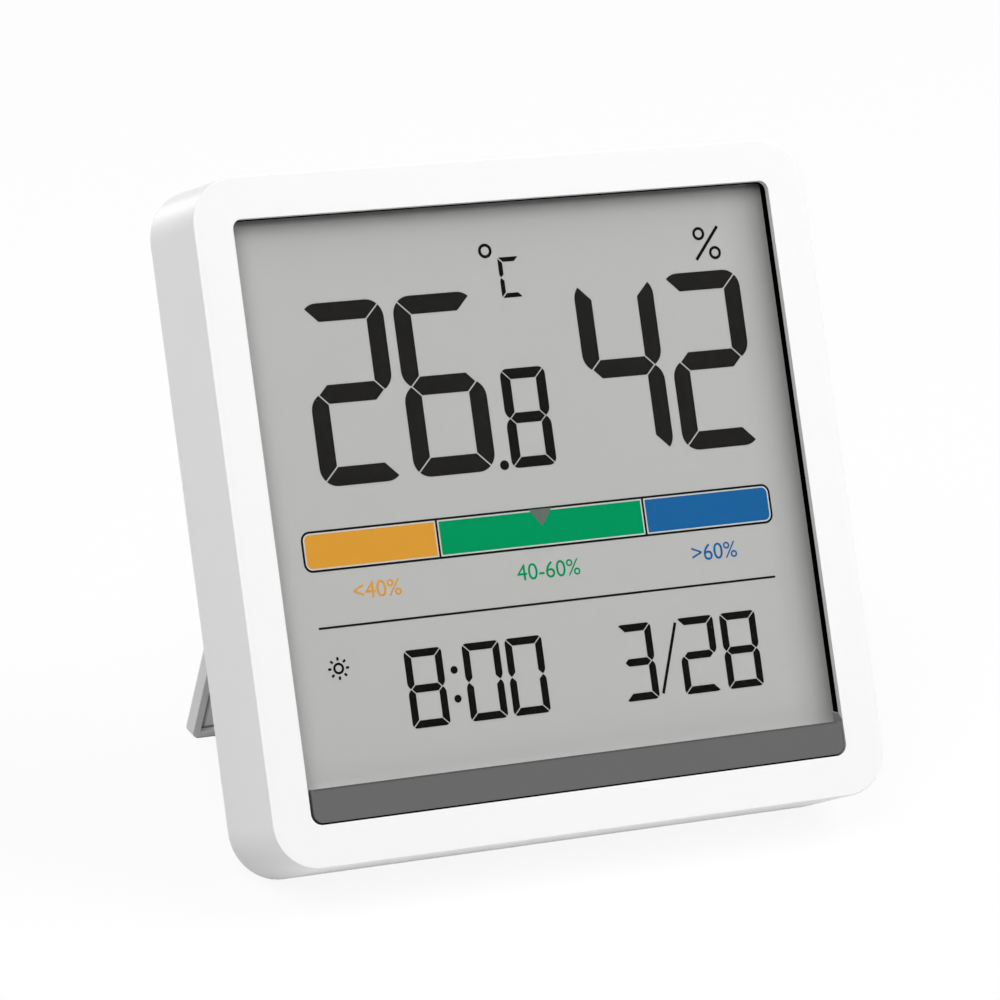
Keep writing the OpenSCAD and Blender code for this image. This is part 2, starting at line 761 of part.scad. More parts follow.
// Battery door: plate on the bay's ledge, with tongues that grip the bay's walls
module battery_door() {
    color("white") stood() {
        difference() {
            slab(door_d, body_t) translate([0, bay_mid])
                round_plate(door_w - 2 * door_clear, door_h - 2 * door_clear, door_corner - door_clear);
            slab(body_t - grip_deep, body_t + past) for (i = [-1:1])
                translate([grip_pitch * (2 + i) - bay_w / 2, bay_mid]) plate(grip_w, grip_l);
        }
        slab(door_d - tongue_l, door_d + door_t / 2) for (s = [-1, 1], t = [-1, 1])
            translate([s * cell_l / 3, bay_mid + t * (bay_h / 2 - door_clear - tongue_t / 2)])
                plate(tongue_w, tongue_t);
    }
}

// Stand: tray-shaped leg with its pivot pins and the heel that stops it
module stand() {
    slant = tan(stand_open - lean);
    inner_y = hinge_in - stand_t;
    inner_foot = stand_t * slant - stand_l;
    cut_foot = -stand_l - past;
    hollow_top = -2 * barrel_r;
    hollow_foot = inner_foot + stand_rim;
    hollow_w = stand_w - 2 * stand_rim;
    side = [[hinge_in, heel], [hinge_in, cut_foot], [inner_y, cut_foot], [inner_y, 0],
        [hinge_in - heel_t, 0], [hinge_in - heel_t, heel]];
    color("white") stood() translate([0, hinge_y, hinge_z]) rotate([stand_open, 0, 0]) {
        difference() {
            intersection() {
                bar(-stand_w / 2, stand_w / 2) {
                    polygon(side);
                    circle(barrel_r);
                }
                foot_room();
            }
            slab(-body_t, hinge_in - stand_floor) translate([-hollow_w / 2, hollow_foot])
                square([hollow_w, hollow_top - hollow_foot]);
        }
        bar(-stand_w / 2 - trunnion_l, stand_w / 2 + trunnion_l) circle(d = trunnion_d);
    }
}

// Space above the table that the stand fills, with round corners at the foot
module foot_room() {
    translate([0, hinge_in, -stand_l]) rotate([lean - stand_open, 0, 0]) slab(-body_h, body_h) {
        translate([-stand_w / 2, foot_r]) square([stand_w, 2 * stand_l]);
        translate([foot_r - stand_w / 2, 0]) square([stand_w - 2 * foot_r, 2 * foot_r]);
        for (s = [-1, 1]) translate([s * (stand_w / 2 - foot_r), foot_r]) circle(foot_r);
    }
}

// Pan-head screw with a cross recess, its head seated at a depth
module screw(seat, shank_d, shank_l, top_d, top_h) {
    difference() {
        union() {
            slab(seat - shank_l, seat) circle(d = shank_d);
            slab(seat, seat + top_h) circle(d = top_d);
        }
        slab(seat + top_h / 2, seat + top_h + past) {
            plate(top_d * 0.6, top_d * 0.14);
            plate(top_d * 0.14, top_d * 0.6);
        }
    }
}

// Screws that hold the rear cover to the display holder
module cover_screws() {
    color("silver") stood() for (sx = [-1, 1], sz = [-1, 1])
        translate([sx * screw_x, 0, sz * screw_z]) screw(head_seat_d, screw_d, screw_l, head_d, head_h);
}

// Screws that hold the board to the display holder
module board_screws() {
    reach = board_back - lcd_back - 2 * fit_clear;
    color("silver") stood() for (s = [-1, 1], z = board_screw_zs)
        translate([s * board_screw_x, 0, z]) screw(board_back, board_screw_d, reach, board_head_d, board_head_h);
}

front_shell();
lens();
trim_strip();
lens_gasket();
lcd_front_polariser();
lcd_front_glass();
lcd_rear_glass();
lcd_reflector();
lcd_holder();
zebra_strip();
main_board();
controller_chip();
clock_crystal();
board_passives();
humidity_sensor();
tact_switches();
plunger_set();
plunger_up();
plunger_down();
button_set();
button_up();
button_down();
cell_upper();
cell_lower();
contact_link();
contact_positive();
contact_negative();
rear_cover();
battery_door();
stand();
cover_screws();
board_screws();
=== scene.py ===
"""Desk temperature and humidity display, dressed over its CAD frame."""
import bmesh
import bpy
import json
import math
from mathutils import Matrix, Vector


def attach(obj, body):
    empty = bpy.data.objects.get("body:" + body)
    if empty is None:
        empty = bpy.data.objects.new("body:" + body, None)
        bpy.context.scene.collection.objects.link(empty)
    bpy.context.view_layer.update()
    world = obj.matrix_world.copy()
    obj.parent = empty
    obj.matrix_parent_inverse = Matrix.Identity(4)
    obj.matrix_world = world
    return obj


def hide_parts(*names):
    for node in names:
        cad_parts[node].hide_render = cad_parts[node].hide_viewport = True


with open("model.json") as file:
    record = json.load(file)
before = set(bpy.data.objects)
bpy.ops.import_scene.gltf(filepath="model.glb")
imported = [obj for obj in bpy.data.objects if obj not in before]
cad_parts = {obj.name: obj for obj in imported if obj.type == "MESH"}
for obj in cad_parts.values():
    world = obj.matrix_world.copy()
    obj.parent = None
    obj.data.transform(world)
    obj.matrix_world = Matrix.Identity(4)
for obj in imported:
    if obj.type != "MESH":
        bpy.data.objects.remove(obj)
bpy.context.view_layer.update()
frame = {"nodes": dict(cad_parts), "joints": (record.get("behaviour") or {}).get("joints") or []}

scene = bpy.context.scene
joints = {j["name"]: j for j in frame["joints"]}

# Millimetres to the metre
MM = 1000.0

# Sizes in millimetres, in the casing's own frame: x right, depth back from the face, z up
FACE = 80.0
FRONT_DEPTH = 12.3
CORNER = 5.5
FLARE = 0.65
EDGE = 0.14
WALL = 1.6
WINDOW_LEFT, WINDOW_RIGHT, WINDOW_TOP, WINDOW_LOW = -35.15, 35.0, 35.05, -35.1
WINDOW_CORNER, WINDOW_LOW_CORNER = 1.15, 1.4
WINDOW_EDGE = 0.03
BEZEL_T = 0.8
BAND_TOP = -30.9
LENS_FLANGE = 1.3
LCD_DEPTH = 2.05
LCD_BACK = 4.3
SEAT_STEP = 0.6
BACK = 18.0
COLUMN_X = 31.55
PRINT_T = 0.02
HINGE = Vector((0, 16.2, 7.8877))
STAND_OPEN = 46.4
HOLLOW_W = 58.1
HOLLOW_FOOT = 42.31
HOLLOW_DEPTH = 0.4
BUTTON_MID, BUTTON_PITCH = 20.8, 6.5

# Painted shade on the display's film beside the window's edges, where the bezel's shadow falls: two
# places, and the share of its colour at each
FILM_RIGHT_WIDE = (29.5, 33.0, 1.0, 0.87)
FILM_RIGHT_NEAR = (34.15, 34.7, 1.0, 0.85)
FILM_LEFT = (-33.3, -32.2, 0.94, 1.0)
FILM_TOP = (34.28, 34.8, 1.0, 0.5)

# Painted shade on the stand, where its sides, rim, foot and hollow's corners lie in shadow: two
# distances, and the share of its colour at each, then its rim's
HOLLOW_SIDE = (0.6, 0.95, 0.3, 1.0)
HOLLOW_END = (0.15, 0.45, 0.35, 1.0)
FOOT_EDGE = (0.1, 0.26, 0.45, 1.0)
OUTER_FACE = (1.5, 1.8, 0.867, 1.0)
RIM_DEPTH, RIM_W, RIM_SHADE = -0.35, 0.88, 0.15
FLOOR_SPAN = 0.1

# Detail of the finishes: grains to the metre, depths in metres and the dark colour of painted shade
PORES, FLOW, MOTTLE, DRAWN, HANDLING, CLOUD, SATIN = 5200.0, 38.0, 2600.0, 900.0, 55.0, 26.0, 7000.0
SLEEVE, EPOXY, VARNISH, TRACKS = 900.0, 900.0, 700.0, 420.0
PORE_DEPTH, DRAWN_DEPTH, SATIN_DEPTH, TRACK_DEPTH = 0.00004, 0.00003, 0.00002, 0.00004
PAINTED_SHADE_DARK = (0.01, 0.01, 0.01, 1)

# The casing's frame in the part's frame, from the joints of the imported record
back_dir = Vector(joints["battery_door_lift"]["axis"]).normalized()
lean = math.atan2(-back_dir.z, back_dir.y)
PLACE = (
    Matrix.Translation(Vector(joints["stand_hinge"]["pos_m"]))
    @ Matrix.Rotation(-lean, 4, "X")
    @ Matrix.Scale(1 / MM, 4)
    @ Matrix.Translation(-HINGE)
)


class Sock:
    """A shader socket that Python's operators act on."""

    def __init__(self, tree, socket):
        self.tree = tree
        self.socket = socket

    def node(self, kind, settings=None, out=0, **inputs):
        """Adds any node: its settings first, then the values or links of its sockets."""
        made = self.tree.nodes.new(kind)
        for key, value in (settings or {}).items():
            setattr(made, key, value)
        for key, value in inputs.items():
            key = key.replace("_", " ")
            numbered = key[0] == "n" and key[1:].isdigit()
            target = made.inputs[int(key[1:]) if numbered else key]
            if isinstance(value, Sock):
                self.tree.links.new(value.socket, target)
            else:
                target.default_value = value
        return Sock(self.tree, made.outputs[out])

    def maths(self, operation, first, second):
        return self.node("ShaderNodeMath", {"operation": operation}, n0=first, n1=second)

    def __add__(self, other):
        return self.maths("ADD", self, other)

    def __radd__(self, other):
        return self.maths("ADD", other, self)

    def __sub__(self, other):
        return self.maths("SUBTRACT", self, other)

    def __rsub__(self, other):
        return self.maths("SUBTRACT", other, self)

    def __mul__(self, other):
        return self.maths("MULTIPLY", self, other)

    def __rmul__(self, other):
        return self.maths("MULTIPLY", other, self)

    def above(self, level):
        return self.maths("GREATER_THAN", self, level)

    def lesser(self, other):
        return self.maths("MINIMUM", self, other)

    def rising(self, start, end, low, high):
        """Value that goes straight from low to high between two levels of this one."""
        return self.node("ShaderNodeMapRange", n0=self, n1=start, n2=end, n3=low, n4=high)

    def along(self, direction):
        """Distance of this place along a direction, from the frame's origin."""
        dot = {"operation": "DOT_PRODUCT"}
        return self.node("ShaderNodeVectorMath", dot, out=1, n0=self, n1=tuple(direction))

    def mix(self, low, high):
        """Colour between two others, with this value as the share of the second."""
        return self.node("ShaderNodeMix", {"data_type": "RGBA"}, out=2, n0=self, n6=low, n7=high)


def material(name):
    """An empty node material, its shader's node and its object coordinates in the part's frame."""
    made = bpy.data.materials.new(name)
    made.use_nodes = True
    tree = made.node_tree
    tree.nodes.clear()
    shader = tree.nodes.new("ShaderNodeBsdfPrincipled")
    output = tree.nodes.new("ShaderNodeOutputMaterial")
    tree.links.new(shader.outputs[0], output.inputs[0])
    place = Sock(tree, tree.nodes.new("ShaderNodeTexCoord").outputs["Object"])
    return made, shader, place


def feed(shader, **inputs):
    """Sets or links the shader's sockets."""
    tree = shader.id_data
    for key, value in inputs.items():
        target = shader.inputs[key.replace("_", " ")]
        if isinstance(value, Sock):
            tree.links.new(value.socket, target)
        else:
            target.default_value = value


def grain(place, scale, detail=2.0):
    """Fine noise of so many grains to the metre."""
    return place.node("ShaderNodeTexNoise", Vector=place, Scale=scale, Detail=detail, Roughness=0.55)


def bumped(place, height, strength, distance):
    return place.node("ShaderNodeBump", Height=height, Strength=strength, Distance=distance)


def moulded(name, colour, rough, texture=0.12, shade=0.02, pores=PORES, shine=0.5, painted_shade=None):
    """Moulded plastic: fine spark-eroded texture, slight flow shading, and painted shade where a share of
    it is given.
    """
    made, shader, place = material(name)
    fine = grain(place, pores)
    flow = grain(place, FLOW, 3.0)
    spread = 0.16
    darker = tuple(c * (1 - shade) for c in colour)
    plain = flow.mix((*colour, 1), (*darker, 1))
    # Painted shade: the colour goes towards near-black where the shade's share falls below one.
    feed(
        shader,
        Base_Color=painted_shade(place).mix(PAINTED_SHADE_DARK, plain) if painted_shade else plain,
        Roughness=rough + (fine - 0.5) * spread,
        Normal=bumped(place, fine, texture, PORE_DEPTH),
        Specular_IOR_Level=shine,
    )
    return made


def ink(name, colour, rough=0.6, shade=0.05):
    """Printed or switched-on film: even, with a faint screen-print mottle."""
    made, shader, place = material(name)
    mottle = grain(place, MOTTLE, 3.0)
    darker = tuple(c * (1 - shade) for c in colour)
    feed(shader, Base_Color=mottle.mix((*colour, 1), (*darker, 1)), Roughness=rough + mottle * 0.08)
    feed(shader, Specular_IOR_Level=0.02)
    return made


def metal(name, colour, rough, stretch=(1.0, 1.0, 14.0)):
    """Rolled or turned metal with a drawn grain."""
    made, shader, place = material(name)
    drawn = place.node("ShaderNodeMapping", Vector=place, Scale=stretch)
    lines = grain(drawn, DRAWN, 4.0)
    line_share = 0.78
    darker = tuple(c * line_share for c in colour)
    feed(
        shader,
        Base_Color=lines.mix((*darker, 1), (*colour, 1)),
        Metallic=1.0,
        Roughness=rough + lines * 0.12,
        Normal=bumped(place, lines, 0.06, DRAWN_DEPTH),
    )
    return made


def clear_sheet(name):
    """Clear window: nearly all light goes through, with a faint film of handling marks."""
    made, shader, place = material(name)
    marks = grain(place, HANDLING, 4.0)
    feed(
        shader,
        Base_Color=marks.mix((0.02, 0.021, 0.0205, 1), (0.026, 0.027, 0.0265, 1)),
        Roughness=0.04 + marks * 0.05,
        Alpha=0.002 + marks * 0.003,
    )
    return made


def film_painted_shade(place):
    """Share of the film's colour left by painted shade: one on the film, less beside the window's edges,
    where the bezel's shadow falls.
    """
    up = PLACE.to_3x3().normalized() @ Vector((0, 0, 1))
    across = place.along((1, 0, 0)) * MM
    height = (place.along(up) - up.dot(PLACE.translation)) * MM
    right = across.rising(*FILM_RIGHT_WIDE) * across.rising(*FILM_RIGHT_NEAR)
    return right * across.rising(*FILM_LEFT) * height.rising(*FILM_TOP)


def display_ground(name):
    """Reflective display film: grey-green, softly mottled, with a fine satin grain, and painted shade
    beside the window's edges.
    """
    made, shader, place = material(name)
    fine = grain(place, SATIN)
    cloud = grain(place, CLOUD)
    lit = cloud.mix((0.484, 0.487, 0.473, 1), (0.496, 0.498, 0.485, 1))
    feed(
        shader,
        # Painted shade: the film goes towards black beside the window's edges.
        Base_Color=film_painted_shade(place).mix((0, 0, 0, 1), lit),
        Roughness=0.5 + fine * 0.1,
        Normal=bumped(place, fine, 0.05, SATIN_DEPTH),
    )
    feed(shader, Specular_IOR_Level=0.1)
    return made


def wrapped_cell(name):
    """Cell in its wrap: a dark sleeve with a pale band towards one end."""
    made, shader, place = material(name)
    fine = grain(place, SLEEVE)
    along = place.node("ShaderNodeSeparateXYZ", Vector=place)
    band_start = 0.012
    band = along.above(band_start)
    sleeve = fine.mix((0.025, 0.03, 0.034, 1), (0.04, 0.046, 0.052, 1))
    feed(shader, Base_Color=band.mix(sleeve, (0.42, 0.2, 0.09, 1)), Metallic=0.3)
    feed(shader, Roughness=0.28 + fine * 0.1)
    return made


def circuit(name):
    """Green circuit board with paler tracks under its varnish."""
    made, shader, place = material(name)
    squared = {"distance": "MANHATTAN", "feature": "F1"}
    tracks = place.node("ShaderNodeTexVoronoi", squared, Vector=place, Scale=TRACKS, Randomness=0.7)
    track_edge = 0.55
    line = tracks.above(track_edge)
    feed(
        shader,
        Base_Color=line.mix((0.012, 0.11, 0.04, 1), (0.03, 0.2, 0.08, 1)),
        Roughness=0.3 + grain(place, VARNISH) * 0.15,
        Normal=bumped(place, line, 0.15, TRACK_DEPTH),
    )
    return made


def stand_painted_shade(place):
    """Share of the stand's colour left by painted shade: one on its outer face, less on its sides, rim
    and foot and in its hollow's corners, where shadow falls.
    """
    turn = PLACE.to_3x3().normalized()
    opened = math.radians(STAND_OPEN)
    outward = turn @ Vector((0, math.cos(opened), math.sin(opened)))
    footward = turn @ Vector((0, math.sin(opened), -math.cos(opened)))
    pivot = PLACE @ HINGE
    depth = (place.along(outward) - outward.dot(pivot)) * MM
    run = (place.along(footward) - footward.dot(pivot)) * MM
    across = place.along((MM, 0, 0))
    inset = HOLLOW_W / 2 - across.maths("ABSOLUTE", across, 0.0)
    left_over = HOLLOW_FOOT - run
    floor = depth.above(HOLLOW_DEPTH - FLOOR_SPAN) * (1 - depth.above(HOLLOW_DEPTH + FLOOR_SPAN))
    floor = floor * inset.above(-FLOOR_SPAN) * left_over.above(-FLOOR_SPAN)
    corners = inset.rising(*HOLLOW_SIDE).lesser(left_over.rising(*HOLLOW_END))
    hollow = 1 - floor * (1 - corners)
    rim = (1 - depth.above(RIM_DEPTH)) * inset.above(-RIM_W)
    foot = place.along((0, 0, MM)).rising(*FOOT_EDGE)
    return hollow * (1 - rim * RIM_SHADE) * foot * depth.rising(*OUTER_FACE)


casing_white = moulded("casing_white", (0.93, 0.93, 0.93), 0.34)
# Painted shade: a greyer copy of the casing's white, for the window's wall where it lies in shadow.
wall_painted_shade = moulded("wall_painted_shade", (0.64, 0.64, 0.64), 0.5, shine=0.2)
# Painted shade darkens the stand's sides, rim, foot and hollow's corners.
stand_white = moulded("stand_white", (0.9, 0.9, 0.9), 0.45, painted_shade=stand_painted_shade)
button_white = moulded("button_white", (0.9, 0.9, 0.895), 0.38, 0.08)
trim_grey = moulded("trim_grey", (0.132, 0.132, 0.133), 0.55, 0.1, 0.05, shine=0.15)
# Painted shade: a darker copy of the strip's grey, for the line along its top edge.
trim_shade_dark = moulded("trim_shade_dark", (0.088, 0.088, 0.09), 0.55, 0.1, 0.05, shine=0.15)
# Painted light: the lug's grey, lighter than the strip's, to make up for the shade on its face.
lug_lightened_grey = moulded("lug_lightened_grey", (0.25, 0.25, 0.252), 0.55, 0.1, 0.05, shine=0.15)
# Pale plastic of the window's ledge, and also a painted highlight along the lug's top.
ledge_pale_and_highlight = moulded("ledge_pale_and_highlight", (0.5, 0.5, 0.5), 0.5, 0.1, 0.05, shine=0.2)
gasket_black = moulded("gasket_black", (0.0012, 0.0012, 0.0012), 0.9, 0.2, 0.2, shine=0.0)
holder_white = moulded("holder_white", (0.72, 0.72, 0.71), 0.5)
switch_grey = moulded("switch_grey", (0.09, 0.09, 0.095), 0.5)
plunger_black = moulded("plunger_black", (0.02, 0.02, 0.02), 0.4)
epoxy_black = moulded("epoxy_black", (0.012, 0.012, 0.012), 0.2, 0.05, 0.3, EPOXY)
passive_tan = moulded("passive_tan", (0.3, 0.19, 0.1), 0.5, 0.1, 0.3)
sensor_white = moulded("sensor_white", (0.7, 0.7, 0.68), 0.45)
connector_rubber = moulded("connector_rubber", (0.2, 0.21, 0.23), 0.7, 0.1, 0.3)
mark_grey = ink("mark_grey", (0.3, 0.3, 0.31))
segment_large = ink("segment_large", (0.0155, 0.015, 0.0138))
segment_mid = ink("segment_mid", (0.0085, 0.0085, 0.008))
segment_fine = ink("segment_fine", (0.0052, 0.0052, 0.005))
marker_grey = ink("marker_grey", (0.136, 0.16, 0.138))
line_black = ink("line_black", (0.009, 0.009, 0.009))
low_orange = ink("low_orange", (0.725, 0.339, 0.0415))
mid_green = ink("mid_green", (0.0, 0.303, 0.109))
high_blue = ink("high_blue", (0.0135, 0.125, 0.346))
halo_pale = ink("halo_pale", (0.6, 0.61, 0.58))
screw_steel = metal("screw_steel", (0.62, 0.61, 0.6), 0.28)
contact_steel = metal("contact_steel", (0.7, 0.69, 0.66), 0.25)
can_steel = metal("can_steel", (0.66, 0.66, 0.66), 0.2)
lens_clear = clear_sheet("lens_clear")
film_grey = display_ground("film_grey")
glass_clear = clear_sheet("glass_clear")
reflector_silver = metal("reflector_silver", (0.72, 0.73, 0.72), 0.45, (1.0, 1.0, 1.0))
cell_steel = wrapped_cell("cell_steel")
board_green = circuit("board_green")

NODE_FINISH = {
    "lens": lens_clear, "lcd_front_polariser": film_grey,
    "lcd_front_glass": glass_clear, "lcd_rear_glass": glass_clear, "lcd_reflector": reflector_silver,
    "lcd_holder": holder_white, "zebra_strip": connector_rubber, "main_board": board_green,
    "controller_chip": epoxy_black, "clock_crystal": can_steel, "board_passives": passive_tan,
    "humidity_sensor": sensor_white, "tact_switches": switch_grey, "plunger_set": plunger_black,
    "plunger_up": plunger_black, "plunger_down": plunger_black, "cell_upper": cell_steel,
    "cell_lower": cell_steel, "contact_link": contact_steel, "contact_positive": contact_steel,
    "contact_negative": contact_steel, "board_screws": screw_steel,
}
for node_name, finish in NODE_FINISH.items():
    node_mesh = frame["nodes"][node_name].data
    node_mesh.materials.clear()
    node_mesh.materials.append(finish)


def keep(obj, body, replaced=()):
    """Hands a finished piece to its body."""
    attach(obj, body)
    if replaced:
        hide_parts(*replaced)


def shaped(name, mesh, finish, sharp=40.0, weighted=True):
    """Object of a mesh in the part's frame, smooth but for its sharp edges."""
    mesh.materials.clear()
    mesh.materials.append(finish)
    mesh.shade_smooth()
    mesh.set_sharp_from_angle(angle=math.radians(sharp))
    obj = bpy.data.objects.new(name, mesh)
    scene.collection.objects.link(obj)
    if weighted:
        normals = obj.modifiers.new("normals", "WEIGHTED_NORMAL")
        normals.keep_sharp = True
    return obj


def from_points(name, points, faces):
    """Closed mesh from points in the casing's frame."""
    mesh = bpy.data.meshes.new(name)
    mesh.from_pydata([PLACE @ Vector(p) for p in points], [], faces)
    made = bmesh.new()
    made.from_mesh(mesh)
    bmesh.ops.recalc_face_normals(made, faces=made.faces)
    made.to_mesh(mesh)
    made.free()
    return mesh


def bend(x, z, radius, start, end, steps=6):
    """Points of an arc about a centre, between two angles in degrees."""
    turns = [math.radians(start + (end - start) * i / steps) for i in range(steps + 1)]
    return [(x + radius * math.cos(t), z + radius * math.sin(t)) for t in turns]


def round_rect(left, right, top, bottom, left_r, right_r, low_r=None, steps=6):
    """Rectangle with a radius at its left corners, one at its right, and perhaps one for the low ones."""
    low_left, low_right = (left_r, right_r) if low_r is None else (low_r, low_r)
    return (bend(right - right_r, top - right_r, right_r, 0, 90, steps)
            + bend(left + left_r, top - left_r, left_r, 90, 180, steps)
            + bend(left + low_left, bottom + low_left, low_left, 180, 270, steps)
            + bend(right - low_right, bottom + low_right, low_right, 270, 360, steps))


def loft(name, rings, closed=False):
    """Mesh through rows of points, with its ends filled or joined."""
    count = len(rings[0])
    points = [p for row in rings for p in row]
    faces = []
    pairs = len(rings) if closed else len(rings) - 1
    for row in range(pairs):
        here, there = row * count, (row + 1) % len(rings) * count
        for i in range(count):
            j = (i + 1) % count
            faces.append((here + i, here + j, there + j, there + i))
    if not closed:
        faces.append(tuple(range(count)))
        faces.append(tuple(range(len(points) - 1, len(points) - count - 1, -1)))
    return from_points(name, points, faces)


def arc(steps):
    """Sines and cosines of a quarter turn."""
    turns = [math.pi / 2 * i / steps for i in range(steps + 1)]
    return [(math.sin(t), math.cos(t)) for t in turns]


def front_casing():
    """Front shell: window wall, flat face, rounded edge and flared side, hollow behind."""
    def outside(depth, inset):
        grow = FLARE * depth / FRONT_DEPTH - inset
        half, corner = FACE / 2 + grow, CORNER + grow
        return [(x, depth, z) for x, z in round_rect(-half, half, half, -half, corner, corner, steps=16)]

    def window(depth, grow):
        sides = WINDOW_LEFT - grow, WINDOW_RIGHT + grow, WINDOW_TOP + grow, WINDOW_LOW - grow
        corner, low = WINDOW_CORNER + grow, WINDOW_LOW_CORNER + grow
        return [(x, depth, z) for x, z in round_rect(*sides, corner, corner, low, 16)]

    rings = [window(BEZEL_T, 0)]
    rings += [window(WINDOW_EDGE * (1 - s), WINDOW_EDGE * (1 - c)) for s, c in arc(4)]
    rings += [outside(EDGE * (1 - c), EDGE * (1 - s)) for s, c in arc(6)]
    lip = 0.1
    rings += [outside(FRONT_DEPTH - lip * (1 - s), lip * (1 - c)) for s, c in arc(3)]
    rings += [outside(FRONT_DEPTH, WALL), outside(LCD_BACK, WALL)]
    rings += [outside(LCD_BACK, WALL + SEAT_STEP), outside(BEZEL_T, WALL + SEAT_STEP)]
    mesh = loft("front_casing", rings, closed=True)
    keep(shaped("front_casing", mesh, casing_white, 50), "casing", ["front_shell"])
    # A thin grey liner over the window's wall: painted shade on the white casing.
    near, skin = 0.05, 0.012
    liner = [[(x, z) for x, _, z in window(near, -inset)] for inset in (skin / 4, skin)]
    mesh = plates("window_wall_shade", [tuple(liner)], near, BEZEL_T)
    keep(shaped("window_wall_shade", mesh, wall_painted_shade, 40, False), "casing")


def softened(node, name, finish, width, body, steps=2, sharp=35.0):
    """Copy of a CAD node with its edges eased as a mould leaves them."""
    mesh = frame["nodes"][node].data.copy()
    mesh.name = name
    made = bmesh.new()
    made.from_mesh(mesh)
    bmesh.ops.remove_doubles(made, verts=made.verts, dist=1e-6)
    bmesh.ops.dissolve_limit(
        made,
        angle_limit=math.radians(0.3),
        verts=made.verts,
        edges=made.edges,
        use_dissolve_boundaries=False,
    )
    made.to_mesh(mesh)
    made.free()
    obj = shaped(name, mesh, finish, sharp, weighted=False)
    ease = obj.modifiers.new("ease", "BEVEL")
    ease.width = width / MM
    ease.segments = steps
    ease.limit_method = "ANGLE"
    ease.angle_limit = math.radians(sharp)
    ease.harden_normals = True
    keep(obj, body, [node])


def plates(name, shapes, near, far):
    """Thin plates between two depths, from outlines in x and z or pairs of outer and inner ones."""
    points, faces = [], []
    for shape in shapes:
        start = len(points)
        rows = list(shape) if isinstance(shape, tuple) else [shape]
        count = len(rows[0])
        for row in rows:
            for depth in (near, far):
                points += [(x, depth, z) for x, z in row]
        rings = [start + count * i for i in range(2 * len(rows))]
        if len(rows) == 1:
            faces.append(tuple(range(start, start + count)))
            faces.append(tuple(range(start + 2 * count - 1, start + count - 1, -1)))
            joined = [rings]
        else:
            joined = [rings[:2], rings[1::2], rings[:1:-1], rings[2::-2]]
        for here, there in joined:
            for i in range(count):
                j = (i + 1) % count
                faces.append((here + i, there + i, there + j, here + j))
    return from_points(name, points, faces)


def drawn_out(name, profile, left, right):
    """Mesh of a profile in depth and z, drawn out from left to right."""
    count = len(profile)
    points = [(x, depth, z) for x in (left, right) for depth, z in profile]
    faces = [tuple(range(count)), tuple(range(2 * count - 1, count - 1, -1))]
    faces += [(i, i + count, (i + 1) % count + count, (i + 1) % count) for i in range(count)]
    return from_points(name, points, faces)


def printed(name, mesh, finish, body="casing"):
    """Print of one ink on a body."""
    mesh.materials.clear()
    mesh.materials.append(finish)
    obj = bpy.data.objects.new(name, mesh)
    scene.collection.objects.link(obj)
    keep(obj, body)


def on_display(name, shapes, finish, lift=0.0):
    """Thin plates on the display's face."""
    printed(name, plates(name, shapes, LCD_DEPTH - PRINT_T - lift, LCD_DEPTH - lift), finish)


def parted(outline, mitres, gap):
    """Clockwise outline with some of its sides moved inwards, each by half a gap."""
    sides = []
    for i, (a, b) in enumerate(zip(outline, outline[1:] + outline[:1])):
        along = Vector((b[0] - a[0], b[1] - a[1])).normalized()
        inward = Vector((along.y, -along.x))
        sides.append((Vector(a) + inward * (gap / 2 if i in mitres else 0), along))
    moved = []
    for (p, u), (q, v) in zip(sides[-1:] + sides[:-1], sides):
        cross = u.x * v.y - u.y * v.x
        step = ((q.x - p.x) * v.y - (q.y - p.y) * v.x) / cross
        moved.append(tuple(p + u * step))
    return moved


SEGMENTS = {
    "0": "abcdef", "2": "abged", "3": "abgcd", "4": "fgbc", "6": "afgedc", "8": "abcdefg", "C": "afed",
}


def digit(sign, left, right, top, bottom, stroke, corner, tip, gap):
    """Outlines of one segment character in its box: round at the corners, parted at its mitres."""
    w, h = right - left, top - bottom
    mid, half = h / 2, stroke / 2
    high, inner = h - stroke, w - stroke
    rounding = math.sqrt(2 * half * tip - half * half)
    swing = math.degrees(math.acos((tip - half) / tip))
    level = bend(corner, h - corner, corner, 135, 90) + bend(w - corner, h - corner, corner, 90, 45)
    level += [(inner, high), (stroke, high)]
    upright = bend(w - corner, h - corner, corner, 45, 0) + bend(w - tip, mid + rounding, tip, 0, -swing)
    upright += [(inner, mid + half), (inner, high)]
    cross = [(half, mid), (stroke, mid + half), (inner, mid + half), (w - half, mid),
             (inner, mid - half), (stroke, mid - half)]
    shapes = {
        "a": parted(level, (len(level) - 3, len(level) - 1), gap),
        "b": parted(upright, (len(upright) - 3, len(upright) - 1), gap),
        "g": parted(cross, (0, 2, 3, 5), gap),
    }
    shapes["c"] = [(x, h - z) for x, z in shapes["b"]]
    shapes["d"] = [(x, h - z) for x, z in shapes["a"]]
    shapes["f"] = [(w - x, z) for x, z in shapes["b"]]
    shapes["e"] = [(w - x, h - z) for x, z in shapes["b"]]
    return [[(left + x, bottom + z) for x, z in shapes[s]] for s in SEGMENTS[sign]]


def disc(x, z, radius, steps=32):
    return bend(x, z, radius, 0, 360 - 360 / steps, steps - 1)


def ring(x, z, radius, stroke):
    return disc(x, z, radius), disc(x, z, radius - stroke)


def stroke_line(start, end, width):
    """Outline of a straight stroke with square ends."""
    a, b = Vector(start), Vector(end)
    along = (b - a).normalized()
    side = Vector((-along.y, along.x)) * width / 2
    return [tuple(p) for p in (a - side, b - side, b + side, a + side)]


